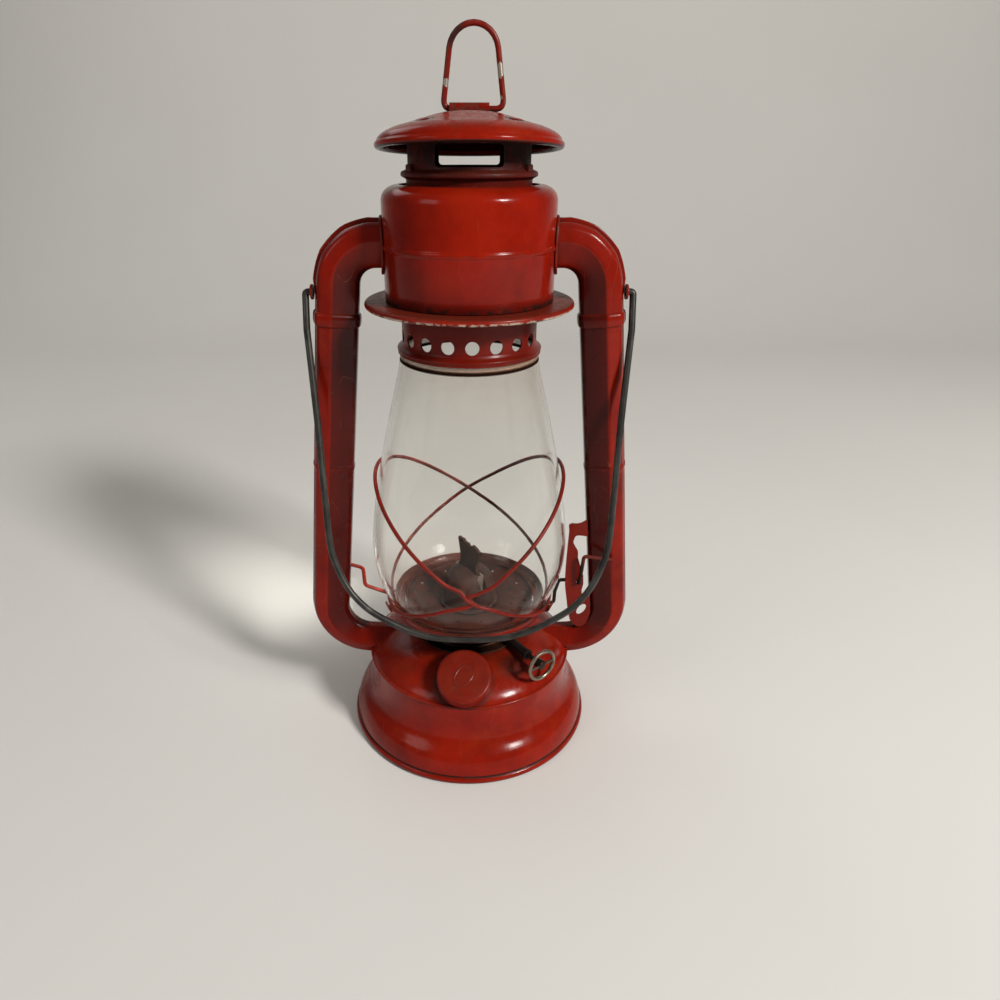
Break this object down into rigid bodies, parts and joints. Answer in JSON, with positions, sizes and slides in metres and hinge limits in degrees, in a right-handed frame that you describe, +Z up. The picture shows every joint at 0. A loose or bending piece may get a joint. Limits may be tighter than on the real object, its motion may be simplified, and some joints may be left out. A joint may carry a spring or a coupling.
{
  "type": "kerosene lantern",
  "caption": "Tubular kerosene lantern with a glass globe, wire guard, hood, lift ring, bail and flared fount.",
  "frame": {"origin": "centre of the base on the floor", "axes": "+Z up, +X to the right as seen from the filler cap's side, -Y towards the viewer"},
  "size_m": [0.1876, 0.1438, 0.3689],
  "materials": {
    "red_paint": "worn gloss enamel",
    "black_steel": "sooty, blackened",
    "grey_steel": "dull, worn",
    "bare_metal": "worn plating",
    "globe_glass": "clear, slightly dusty",
    "cotton": "woven, charred at the tip",
    "seal": "matt"
  },
  "bodies": {
    "frame": {"fount_skirt": "red_paint", "fount_bottom": "black_steel", "fount_top": "red_paint", "tank_top": "black_steel", "filler_neck": "red_paint", "burner_gallery": "grey_steel", "burner_body": "black_steel", "burner_cone": "black_steel", "wick_tube": "bare_metal", "winder_sleeve": "black_steel", "right_upper_tube": "red_paint", "left_upper_tube": "red_paint", "right_lower_tube": "red_paint", "left_lower_tube": "red_paint", "right_tube_flange": "red_paint", "left_tube_flange": "red_paint", "barrel": "red_paint", "barrel_floor": "red_paint", "right_bail_eyelet": "red_paint", "left_bail_eyelet": "red_paint", "lift_bracket": "red_paint", "chimney_spring": "grey_steel"},
    "bail": {"bail": "grey_steel"},
    "globe_carriage": {"globe_plate": "red_paint", "plate_deck": "grey_steel", "globe": "globe_glass", "guard_hoop_right": "red_paint", "guard_hoop_left": "red_paint", "guide_arm": "red_paint"},
    "lift_lever": {"lift_lever": "black_steel"},
    "chimney": {"perforated_collar": "red_paint", "chimney_tube": "red_paint", "crown": "red_paint", "hood": "red_paint", "ring_strap": "red_paint"},
    "lift_ring": {"lift_ring": "bare_metal"},
    "winder": {"winder_shaft": "black_steel", "wick_sprocket_1": "bare_metal", "wick_sprocket_2": "bare_metal", "winder_handle": "bare_metal"},
    "wick": {"wick": "cotton"},
    "cap_gasket": {"cap_gasket": "seal"},
    "filler_cap": {"filler_cap": "red_paint"}
  },
  "joints": [
    {"name": "bail_swing", "type": "hinge", "parent": "frame", "child": "bail", "pos_m": [0, 0, 0.256], "axis": [-1, 0, 0], "range_deg": [0, 329]},
    {"name": "lever_turn", "type": "hinge", "parent": "frame", "child": "lift_lever", "pos_m": [0.0637, 0, 0.092], "axis": [0, 1, 0], "range_deg": [0, 23.5]},
    {"name": "globe_lift", "type": "slide", "parent": "frame", "child": "globe_carriage", "axis": [0, 0, 1], "range_m": [0, 0.01], "deforming": ["chimney_spring"]},
    {"name": "chimney_lift", "type": "slide", "parent": "globe_carriage", "child": "chimney", "axis": [0, 0, 1], "range_m": [0, 0.0065], "deforming": ["chimney_spring"]},
    {"name": "lift_ring_swing", "type": "hinge", "parent": "chimney", "child": "lift_ring", "pos_m": [0, 0.00059, 0.33518], "axis": [1, 0, 0], "range_deg": [-90, 83]},
    {"name": "winder_turn", "type": "hinge", "parent": "frame", "child": "winder", "pos_m": [0.00434, 0.00321, 0.0624], "axis": [0.5948, -0.8039, 0], "range_deg": [-57, 229]},
    {"name": "wick_lift", "type": "slide", "parent": "frame", "child": "wick", "axis": [0, 0, 1], "range_m": [-0.016, 0.004]},
    {"name": "cap_lift", "type": "slide", "parent": "frame", "child": "cap_gasket", "axis": [0, -0.5446, 0.8387], "range_m": [0, 0.0036]},
    {"name": "cap_turn", "type": "hinge", "parent": "cap_gasket", "child": "filler_cap", "pos_m": [-0.0028, -0.0473, 0.053], "axis": [0, -0.5446, 0.8387], "range_deg": [0, 720]}
  ],
  "couplings": [
    {"joint": "lever_turn", "follows": "globe_lift", "rad_per_m": 41.015},
    {"joint": "wick_lift", "follows": "winder_turn", "m_per_rad": -0.004},
    {"joint": "cap_lift", "follows": "cap_turn", "m_per_rad": 0.0002864}
  ]
}
